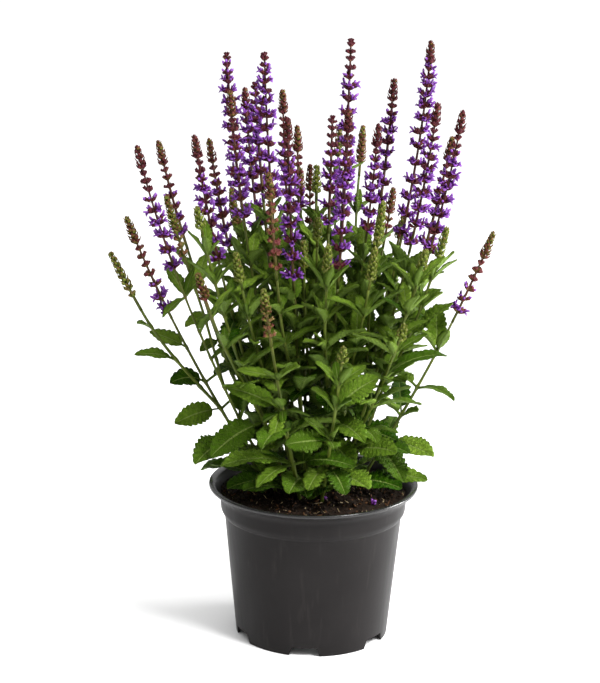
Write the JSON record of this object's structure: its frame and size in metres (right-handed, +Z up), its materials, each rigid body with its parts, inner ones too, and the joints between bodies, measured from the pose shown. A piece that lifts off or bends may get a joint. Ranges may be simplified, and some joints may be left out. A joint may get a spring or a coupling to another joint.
{
  "type": "potted woodland sage",
  "caption": "Clump of leafy square stems with tall whorled violet flower spikes, rooted in potting soil in a round tapered dark nursery pot with a rolled rim and a notched foot.",
  "frame": {"origin": "middle of the whole object's footprint, on the surface that the pot's foot stands on", "axes": "+Z up; the side that the picture shows faces -Y"},
  "size_m": [0.339, 0.2588, 0.541],
  "materials": {
    "pot_plastic": "satin dark charcoal plastic, glossier along the rim",
    "soil": "dark crumbly peat soil with a few pale flecks",
    "foliage": "mid to dark green wrinkled leaves with paler midribs, and green stems flushed with purple towards the flowers",
    "violet_spikes": "violet-blue two-lipped flowers in dark plum calyces",
    "plum_spikes": "brown-plum calyces and buds with olive bracts"
  },
  "bodies": {
    "root": {"pot": "pot_plastic", "potting_soil": "soil", "leafy_stem_01": "foliage", "leafy_stem_02": "foliage", "leafy_stem_03": "foliage", "leafy_stem_04": "foliage", "leafy_stem_05": "foliage", "leafy_stem_06": "foliage", "leafy_stem_07": "foliage", "leafy_stem_08": "foliage", "leafy_stem_09": "foliage", "leafy_stem_10": "foliage", "leafy_stem_11": "foliage", "leafy_stem_12": "foliage", "leafy_stem_13": "foliage", "leafy_stem_14": "foliage", "leafy_stem_15": "foliage", "leafy_stem_16": "foliage", "leafy_stem_17": "foliage", "leafy_stem_18": "foliage", "leafy_stem_19": "foliage", "leafy_stem_20": "foliage", "leafy_stem_21": "foliage", "leafy_stem_22": "foliage", "leafy_stem_23": "foliage", "leafy_stem_24": "foliage", "leafy_stem_25": "foliage", "leafy_stem_26": "foliage", "flower_spike_01": "plum_spikes", "flower_spike_02": "violet_spikes", "flower_spike_03": "violet_spikes", "flower_spike_04": "violet_spikes", "flower_spike_05": "plum_spikes", "flower_spike_06": "violet_spikes", "flower_spike_07": "violet_spikes", "flower_spike_08": "violet_spikes", "flower_spike_09": "violet_spikes", "flower_spike_10": "violet_spikes", "flower_spike_11": "violet_spikes", "flower_spike_12": "violet_spikes", "flower_spike_13": "plum_spikes", "flower_spike_14": "violet_spikes", "flower_spike_15": "plum_spikes", "flower_spike_16": "plum_spikes", "flower_spike_17": "plum_spikes", "flower_spike_18": "plum_spikes", "flower_spike_19": "violet_spikes", "flower_spike_20": "violet_spikes", "flower_spike_21": "violet_spikes", "flower_spike_22": "violet_spikes", "flower_spike_23": "violet_spikes", "flower_spike_24": "plum_spikes", "flower_spike_25": "violet_spikes", "flower_spike_26": "violet_spikes", "flower_spike_27": "violet_spikes", "flower_spike_28": "violet_spikes", "flower_spike_29": "plum_spikes"}
  },
  "joints": []
}
